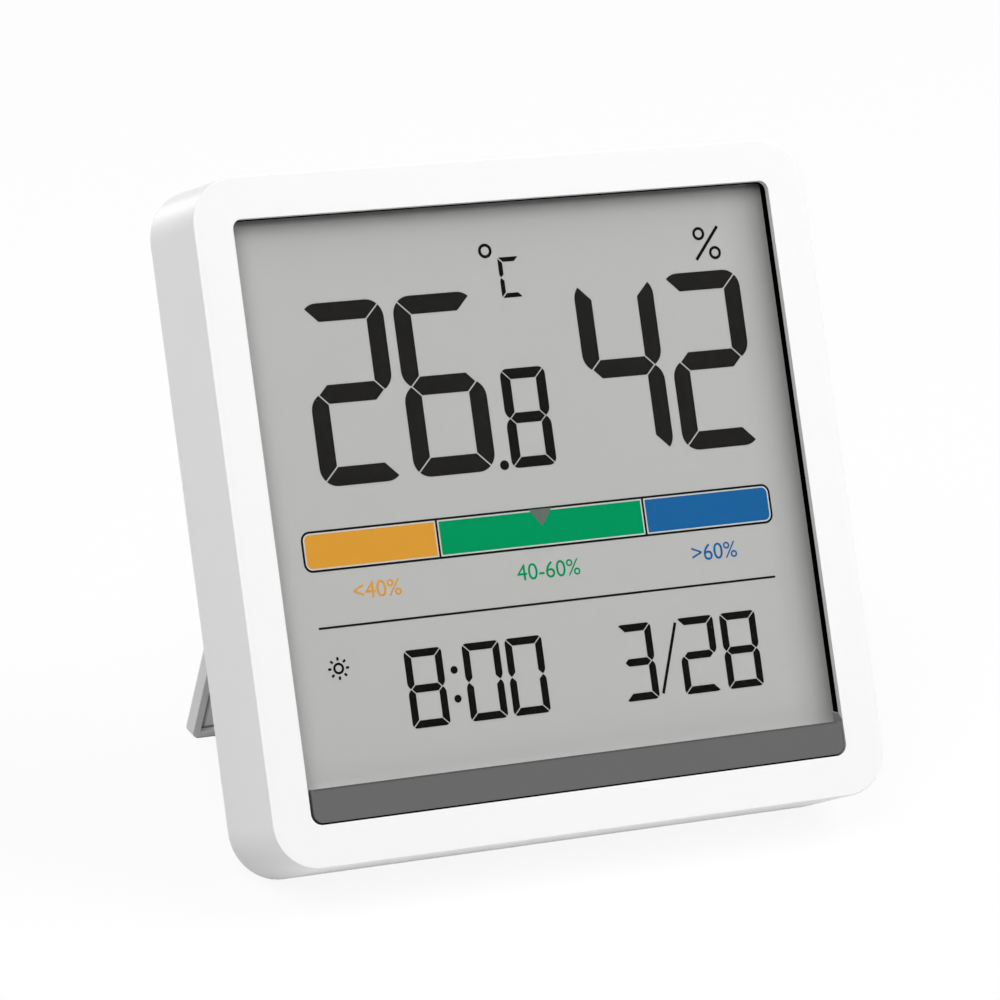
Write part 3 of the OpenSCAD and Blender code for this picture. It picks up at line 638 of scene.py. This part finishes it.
def readings():
    """Switched-on segments of the display: two large readings, the clock line and their signs."""
    big = dict(top=24.88, bottom=3.44, stroke=2.22, corner=2.22, tip=2.22, gap=0.16)
    large = []
    for sign, left, right in (("2", -27.56, -16.94), ("6", -15.69, -5.13),
                              ("4", 8.0, 18.56), ("2", 19.81, 30.38)):
        large += digit(sign, left, right, **big)
    on_display("display_readings", large, segment_large)
    mid = dict(top=15.26, bottom=3.44, stroke=1.27, corner=0.95, tip=1.28, gap=0.13)
    tenths = digit("8", -3.09, 2.79, **mid)
    on_display("display_tenths", tenths + [disc(-4.06, 3.94, 0.58)], segment_mid)
    small = dict(top=-16.36, bottom=-25.5, stroke=0.9, corner=0.6, tip=0.9, gap=0.13)
    clock = []
    for sign, left, right in (("8", -20.2, -15.38), ("0", -12.75, -7.94), ("0", -7.19, -2.38),
                              ("3", 7.6, 12.07), ("2", 15.54, 20.46), ("8", 21.36, 26.18)):
        clock += digit(sign, left, right, **small)
    clock += [disc(-14.06, z, 0.46) for z in (-19.25, -22.63)]
    clock.append(stroke_line((15.39, -16.81), (12.58, -25.0), 0.37))
    on_display("display_clock", clock, segment_fine)
    letter = dict(top=28.51, bottom=23.66, stroke=0.55, corner=0.3, tip=0.55, gap=0.16)
    signs = digit("C", -1.37, 1.43, **letter)
    signs.append(ring(-2.84, 29.42, 0.88, 0.36))
    signs += [ring(x, z, 0.81, 0.34) for x, z in ((25.75, 29.47), (27.66, 27.02))]
    signs.append(stroke_line((28.39, 30.2), (25.03, 26.3), 0.38))
    on_display("display_signs", signs, segment_fine)


def level_bar():
    """Three-colour bar with its pale edging, dark outline and marker."""
    left, right, top, bottom, corner = -31.1, 30.52, -1.43, -6.23, 1.1
    line, divider, edging, square = 0.26, 0.26, 0.17, 0.06
    inner = corner - line
    outline = (round_rect(left, right, top, bottom, corner, corner),
               round_rect(left + line, right - line, top - line, bottom + line, inner, inner))
    splits = (-13.84, 13.27)
    high, low = top - line, bottom + line
    hair = 0.005
    posts = [stroke_line((x, high - hair), (x, low + hair), divider) for x in splits]
    on_display("bar_outline", [outline] + posts, line_black)
    half = divider / 2
    fields = (("bar_low", left + line, splits[0] - half, inner, square, low_orange),
              ("bar_mid", splits[0] + half, splits[1] - half, square, square, mid_green),
              ("bar_high", splits[1] + half, right - line, square, inner, high_blue))
    pale = []
    for name, start, end, left_r, right_r, finish in fields:
        around = round_rect(start + hair, end - hair, high - hair, low + hair, left_r, right_r)
        start, end = start + edging, end - edging
        inside = [max(r - edging, square / 2) for r in (left_r, right_r)]
        pale.append((around, round_rect(start, end, high - edging, low + edging, *inside)))
        field = round_rect(start + hair, end - hair, high - edging - hair, low + edging + hair, *inside)
        on_display(name, [field], finish)
    on_display("bar_edging", pale, halo_pale)
    marker_x, marker_half, marker_top, marker_low = -0.25, 1.5, -1.6, -3.63
    marker = [(marker_x - marker_half, marker_top), (marker_x + marker_half, marker_top),
              (marker_x, marker_low)]
    on_display("bar_marker", [marker], marker_grey, PRINT_T)


def printed_numbers(name, body, x, z, height, finish):
    """Printed numbers, centred on x with their feet at z."""
    curve = bpy.data.curves.new(name, "FONT")
    curve.body = body
    curve.align_x = "CENTER"
    numeral_share = 0.72
    curve.size = height / numeral_share
    curve.extrude = PRINT_T / 2
    holder = bpy.data.objects.new(name, curve)
    scene.collection.objects.link(holder)
    bpy.context.view_layer.update()
    mesh = bpy.data.meshes.new_from_object(holder.evaluated_get(bpy.context.evaluated_depsgraph_get()))
    bpy.data.objects.remove(holder)
    mesh.name = name
    stand_up = Matrix.Translation((x, LCD_DEPTH - PRINT_T / 2, z)) @ Matrix.Rotation(math.pi / 2, 4, "X")
    mesh.transform(PLACE @ stand_up)
    printed(name, mesh, finish)


def legends():
    """Numbers under the bar, the line below it and the daytime sign."""
    feet, height = -9.8, 2.0
    for name, body, x, finish in (("legend_low", "<40%", -22.4, low_orange),
                                  ("legend_mid", "40-60%", -0.2, mid_green),
                                  ("legend_high", ">60%", 21.9, high_blue)):
        printed_numbers(name, body, x, feet, height, finish)
    rule_left, rule_right, rule_z, rule_w = -30.31, 29.69, -12.72, 0.26
    rule = stroke_line((rule_left, rule_z), (rule_right, rule_z), rule_w)
    on_display("rule_line", [rule], line_black)
    x, z, sun_r, near, far, stroke, count = -28.5, -17.5, 0.68, 0.92, 1.32, 0.28, 8
    rays = []
    for i in range(count):
        turn = 2 * math.pi / count * i
        along = Vector((math.cos(turn), math.sin(turn)))
        rays.append(stroke_line(Vector((x, z)) + along * near, Vector((x, z)) + along * far, stroke))
    on_display("daytime_sign", [ring(x, z, sun_r, stroke)] + rays, segment_fine)


def window_seal():
    """Black seal round the display, over the lens's flange, and the pale ledge under the window."""
    hair, clear, seal_r, inner_r, sharp = 0.01, 0.05, 2.0, 0.5, 0.05
    near, far = BEZEL_T + hair, LCD_DEPTH - hair
    reach = WINDOW_TOP + LENS_FLANGE - clear
    outer = round_rect(-reach, reach, reach, -reach, seal_r, seal_r)
    ledge_h, ledge_drop = 0.3, 0.06
    low, top = BAND_TOP - ledge_h, BAND_TOP - ledge_drop
    inner = round_rect(WINDOW_LEFT, WINDOW_RIGHT, WINDOW_TOP, low, inner_r, inner_r, sharp)
    mesh = plates("display_seal", [(outer, inner)], near, far)
    obj = shaped("display_seal", mesh, gasket_black, 40, False)
    keep(obj, "casing", ["lens_gasket"])
    ledge = ((near, low + hair), (near, top), (far, top), (far, low + hair))
    mesh = drawn_out("window_ledge", ledge, WINDOW_LEFT + hair, WINDOW_RIGHT - hair)
    printed("window_ledge", mesh, ledge_pale_and_highlight)


def window_strip():
    """Grey strip at the foot of the window, eased at its edges, with a line of painted shade along its
    top, and the lug beside the seal, painted lighter and with a painted highlight along its top.
    """
    groove, right_groove, low_groove = 0.38, 0.28, 0.21
    top_gap, near, ease, sharp, hair = 0.05, 0.06, 0.05, 0.03, 0.01
    outline = round_rect(WINDOW_LEFT + groove, WINDOW_RIGHT - right_groove, BAND_TOP - top_gap,
                         WINDOW_LOW + low_groove, sharp, sharp, WINDOW_LOW_CORNER - low_groove)
    mesh = plates("window_strip", [outline], near, BEZEL_T)
    obj = shaped("window_strip", mesh, trim_grey, 40, False)
    eased = obj.modifiers.new("ease", "BEVEL")
    eased.width = ease / MM
    eased.segments = 2
    eased.limit_method = "ANGLE"
    eased.harden_normals = True
    keep(obj, "casing", ["trim_strip"])
    # A dark line along the strip's top edge: painted shade where the edge lies in shadow.
    shade_drop, shade_h, proud = 0.03, 0.19, 0.01
    shade_z = BAND_TOP - top_gap - shade_drop - shade_h / 2
    lip = stroke_line((WINDOW_LEFT + 2 * groove, shade_z), (WINDOW_RIGHT - 2 * groove, shade_z), shade_h)
    printed("strip_top_shade", plates("strip_top_shade", [lip], near - proud, near + proud), trim_shade_dark)
    # The lug, in a grey painted lighter to make up for its shade.
    side, thick, foot, far = WINDOW_RIGHT - hair, 0.12, BAND_TOP - top_gap + hair, LCD_DEPTH - hair
    low_step, high_step, top_step = (BAND_TOP + rise for rise in (0.1, 0.85, 1.1))
    profile = ((near, foot), (near, low_step), (BEZEL_T, high_step), (far, top_step), (far, foot))
    printed("strip_lug", drawn_out("strip_lug", profile, side - thick, side), lug_lightened_grey)
    # A pale band along the lug's top: a painted highlight where its edge catches the light.
    clear, skin = 0.02, 0.09
    cap_near, cap_far = BEZEL_T + clear, LCD_DEPTH - clear
    cap_low, cap_top = high_step + clear, top_step + clear
    cap = ((cap_near, cap_low), (cap_near, cap_low + skin), (cap_far, cap_top + skin), (cap_far, cap_top))
    printed("strip_lug_highlight", drawn_out("strip_lug_highlight", cap, side - thick, side), ledge_pale_and_highlight)


def patterned(name, mesh, finish, count_x, count_z, pitch_x, pitch_z, place):
    """Copies of a mesh on a grid, made by a node tree and turned into one plain mesh."""
    tree = bpy.data.node_groups.new(name + "_grid", "GeometryNodeTree")
    face = tree.interface
    face.new_socket("Shape", in_out="INPUT", socket_type="NodeSocketGeometry")
    sizes = {"Width": pitch_x * (count_x - 1), "Height": pitch_z * (count_z - 1)}
    for label in sizes:
        face.new_socket(label, in_out="INPUT", socket_type="NodeSocketFloat")
    for label in ("Columns", "Rows"):
        face.new_socket(label, in_out="INPUT", socket_type="NodeSocketInt")
    face.new_socket("Finish", in_out="INPUT", socket_type="NodeSocketMaterial")
    face.new_socket("Copies", in_out="OUTPUT", socket_type="NodeSocketGeometry")
    new, link = tree.nodes.new, tree.links.new
    given, result = new("NodeGroupInput"), new("NodeGroupOutput")
    grid, spread = new("GeometryNodeMeshGrid"), new("GeometryNodeInstanceOnPoints")
    real, paint = new("GeometryNodeRealizeInstances"), new("GeometryNodeSetMaterial")
    for label, socket in (("Width", "Size X"), ("Height", "Size Y"),
                          ("Columns", "Vertices X"), ("Rows", "Vertices Y")):
        link(given.outputs[label], grid.inputs[socket])
    link(grid.outputs["Mesh"], spread.inputs["Points"])
    link(given.outputs["Shape"], spread.inputs["Instance"])
    link(spread.outputs[0], real.inputs[0])
    link(real.outputs[0], paint.inputs["Geometry"])
    link(given.outputs["Finish"], paint.inputs["Material"])
    link(paint.outputs[0], result.inputs[0])
    source = bpy.data.objects.new(name, mesh)
    scene.collection.objects.link(source)
    maker = source.modifiers.new("grid", "NODES")
    maker.node_group = tree
    values = {**sizes, "Columns": count_x, "Rows": count_z, "Finish": finish}
    for item in face.items_tree:
        if item.name in values:
            maker[item.identifier] = values[item.name]
    bpy.context.view_layer.update()
    made = bpy.data.meshes.new_from_object(source.evaluated_get(bpy.context.evaluated_depsgraph_get()))
    bpy.data.objects.remove(source)
    made.transform(place)
    made.name = name
    return made


def turned(profile, steps=40):
    """Mesh of a profile of radius and height turned about z."""
    mesh = bpy.data.meshes.new("turned")
    points, faces = [], []
    for radius, height in profile:
        for i in range(steps):
            turn = 2 * math.pi * i / steps
            points.append((radius * math.cos(turn), radius * math.sin(turn), height))
    for row in range(len(profile) - 1):
        here, there = row * steps, (row + 1) * steps
        for i in range(steps):
            j = (i + 1) % steps
            faces.append((here + i, here + j, there + j, there + i))
    faces.append(tuple(range(steps - 1, -1, -1)))
    faces.append(tuple(range(len(points) - steps, len(points))))
    mesh.from_pydata(points, [], faces)
    return mesh


def cover_screws():
    """Pan-head screws of the rear cover, with a pressed cross in each head."""
    head, head_h, shank, shank_l = 1.7, 1.3, 0.95, 5.2
    crown, point, point_l, axis_r = 0.45, 0.6, 0.5, 0.01
    slot_l, slot_w, slot_h = 2.0, 0.46, 1.2
    edge = [(head - crown * (1 - c), head_h - crown * (1 - s)) for s, c in arc(5)]
    profile = [(shank * point, -shank_l), (shank, -shank_l + point_l), (shank, 0), (head, 0)]
    screw = turned(profile + edge + [(axis_r, head_h)])
    cut = bpy.data.meshes.new("cross")
    made = bmesh.new()
    for wide, deep in ((slot_l, slot_w), (slot_w, slot_l)):
        box = bmesh.ops.create_cube(made, size=1.0)
        bmesh.ops.scale(made, vec=(wide, deep, slot_h), verts=box["verts"])
        bmesh.ops.translate(made, vec=(0, 0, head_h), verts=box["verts"])
    made.to_mesh(cut)
    made.free()
    body, tool = (bpy.data.objects.new(n, m) for n, m in (("screw", screw), ("cross", cut)))
    for obj in (body, tool):
        scene.collection.objects.link(obj)
    punch = body.modifiers.new("cross", "BOOLEAN")
    punch.operation, punch.object, punch.use_self = "DIFFERENCE", tool, True
    bpy.context.view_layer.update()
    finished = bpy.data.meshes.new_from_object(body.evaluated_get(bpy.context.evaluated_depsgraph_get()))
    bpy.data.objects.remove(body)
    bpy.data.objects.remove(tool)
    reach, seat = 33.4, 11.6
    pitch = 2 * reach
    seated = PLACE @ Matrix.Translation((0, seat, 0)) @ Matrix.Rotation(-math.pi / 2, 4, "X")
    mesh = patterned("cover_screw_set", finished, screw_steel, 2, 2, pitch, pitch, seated)
    obj = shaped("cover_screw_set", mesh, screw_steel, 30, False)
    keep(obj, "casing", ["cover_screws"])


def push_button(label, z, sign):
    """Round button: crowned cap with an eased edge, its flange and stem, and a printed sign."""
    radius, flange, stem, proud, crown = 2.3, 2.8, 1.1, 0.35, 0.12
    cover_t, flange_t, ease, seat, sign_t = 1.5, 0.5, 0.4, 11.8, 0.3
    top, wall_in = BACK + proud, BACK - cover_t
    collar = wall_in - flange_t
    edge = [(radius - ease * (1 - c), top - crown - ease * (1 - s)) for s, c in arc(6)]
    dome_r = (1.5, 1.0, 0.5, 0.02)
    dome = [(r, top - crown * (r / (radius - ease)) ** 2) for r in dome_r]
    profile = [(stem, seat), (stem, collar), (flange, collar), (flange, wall_in), (radius, wall_in)]
    mesh = turned(profile + edge + dome, steps=48)
    upright = Matrix.Translation((COLUMN_X, 0, z)) @ Matrix.Rotation(-math.pi / 2, 4, "X")
    mesh.transform(PLACE @ upright)
    name = "button_" + label
    mesh.name = name + "_cap"
    keep(shaped(name + "_cap", mesh, button_white, 35), name, [name])

    def on_cap(row):
        return [(COLUMN_X - x, z + u) for x, u in row]

    turned_round = [tuple(map(on_cap, s)) if isinstance(s, tuple) else on_cap(s) for s in sign]
    printed(name + "_sign", plates(name + "_sign", turned_round, top - sign_t, top), mark_grey, name)


front_casing()
softened("rear_cover", "back_casing", casing_white, 0.12, "casing")
softened("battery_door", "battery_lid", casing_white, 0.12, "battery_door")
softened("stand", "stand_leg", stand_white, 0.14, "stand", 3)
readings()
level_bar()
legends()
window_seal()
window_strip()
cover_screws()
arrow_half, arrow_foot, arrow_tip = 0.75, 0.45, 0.7
up_arrow = [(-arrow_half, -arrow_foot), (arrow_half, -arrow_foot), (0, arrow_tip)]
down_arrow = [(-arrow_half, arrow_foot), (0, -arrow_tip), (arrow_half, arrow_foot)]
ring_r, ring_stroke = 0.75, 0.24
push_button("set", BUTTON_MID + BUTTON_PITCH, [ring(0, 0, ring_r, ring_stroke)])
push_button("up", BUTTON_MID, [up_arrow])
push_button("down", BUTTON_MID - BUTTON_PITCH, [down_arrow])

# Studio: shares of white, then each lamp's place and size in metres and its power in watts
FLOOR_BOUNCE = 0.66
FLOOR_SEEN, FLOOR_GLOW = 0.95, 0.9
SURROUND = 0.02
LAMP_AIM = (0, 0, 0.04)
LAMPS = (
    ("right_box", (0.75, -0.1, 1.1), (1.0, 1.0), 10.5),
    ("front_box", (0.95, -0.95, 0.5), (1.0, 1.0), 4.8),
    ("left_box", (-0.6, -0.6, 1.1), (0.8, 0.8), 9.4),
    ("top_box", (-0.6, 0.1, 1.3), (0.8, 0.8), 3.2),
    ("rim_strip", (-0.6, 1.25, 0.2), (1.1, 0.3), 4.3),
)

# Camera in the casing's frame: its place in millimetres, its directions and its lens
CAMERA_AT = Vector((-241.495, -497.567, -37.034))
CAMERA_RIGHT = Vector((0.8996, -0.4153, -0.1346))
CAMERA_AHEAD = Vector((0.4265, 0.9020, 0.0667))
SENSOR_W, LENS = 36.0, 169.816


def looked_at(tree):
    """One for rays that show a backdrop: the camera's own, and those through gloss and glass."""
    path = tree.nodes.new("ShaderNodeLightPath")
    seen = Sock(tree, path.outputs["Is Camera Ray"])
    for label in ("Is Glossy Ray", "Is Transmission Ray"):
        seen = seen.maths("MAXIMUM", seen, Sock(tree, path.outputs[label]))
    return seen


def stage_floor():
    """Pale floor that shows white to the camera and keeps a soft shadow."""
    mesh = bpy.data.meshes.new("floor")
    reach = 6.0
    corners = [(-reach, -reach, 0), (reach, -reach, 0), (reach, reach, 0), (-reach, reach, 0)]
    mesh.from_pydata(corners, [], [(0, 1, 2, 3)])
    made = bpy.data.materials.new("floor_white")
    made.use_nodes = True
    tree = made.node_tree
    tree.nodes.clear()
    seen = looked_at(tree)
    bounced, shown = ((share, share, share, 1) for share in (FLOOR_BOUNCE, FLOOR_SEEN))
    matt = seen.node("ShaderNodeBsdfDiffuse", Color=seen.mix(bounced, shown))
    glow = seen.node("ShaderNodeEmission", Color=(1, 1, 1, 1), Strength=1.0)
    mixed = seen.node("ShaderNodeMixShader", n0=seen * FLOOR_GLOW, n1=matt, n2=glow)
    output = tree.nodes.new("ShaderNodeOutputMaterial")
    tree.links.new(mixed.socket, output.inputs[0])
    mesh.materials.append(made)
    floor = bpy.data.objects.new("floor", mesh)
    scene.collection.objects.link(floor)


def stage_world():
    """Even studio surround, white to the camera."""
    world = bpy.data.worlds.new("studio")
    scene.world = world
    world.use_nodes = True
    tree = world.node_tree
    tree.nodes.clear()
    seen = looked_at(tree)
    strength = seen * (1.0 - SURROUND) + SURROUND
    glow = seen.node("ShaderNodeBackground", Color=(1, 1, 1, 1), Strength=strength)
    output = tree.nodes.new("ShaderNodeOutputWorld")
    tree.links.new(glow.socket, output.inputs[0])


def soft_lamp(name, place, aim, size, power):
    """Soft box of a width and a height, turned to a point."""
    lamp = bpy.data.lights.new(name, "AREA")
    lamp.shape = "RECTANGLE"
    lamp.size, lamp.size_y = size
    lamp.energy = power
    holder = bpy.data.objects.new(name, lamp)
    holder.location = place
    holder.rotation_mode = "QUATERNION"
    holder.rotation_quaternion = (Vector(aim) - Vector(place)).to_track_quat("-Z", "Y")
    scene.collection.objects.link(holder)


def stage_camera():
    """Camera at the photograph's place, given in the casing's frame."""
    eye = PLACE @ CAMERA_AT
    turn = PLACE.to_3x3().normalized()
    right = (turn @ CAMERA_RIGHT).normalized()
    forward = (turn @ CAMERA_AHEAD).normalized()
    high = right.cross(forward).normalized()
    right = forward.cross(high)
    camera = bpy.data.cameras.new("camera")
    camera.sensor_width = SENSOR_W
    camera.lens = LENS
    camera.clip_start, camera.clip_end = 0.01, 50.0
    holder = bpy.data.objects.new("camera", camera)
    holder.matrix_world = Matrix.Translation(eye) @ Matrix((right, high, -forward)).transposed().to_4x4()
    scene.collection.objects.link(holder)
    scene.camera = holder


stage_floor()
stage_world()
for lamp_name, lamp_place, lamp_size, lamp_power in LAMPS:
    soft_lamp(lamp_name, lamp_place, LAMP_AIM, lamp_size, lamp_power)
stage_camera()
scene.view_settings.view_transform = "Standard"
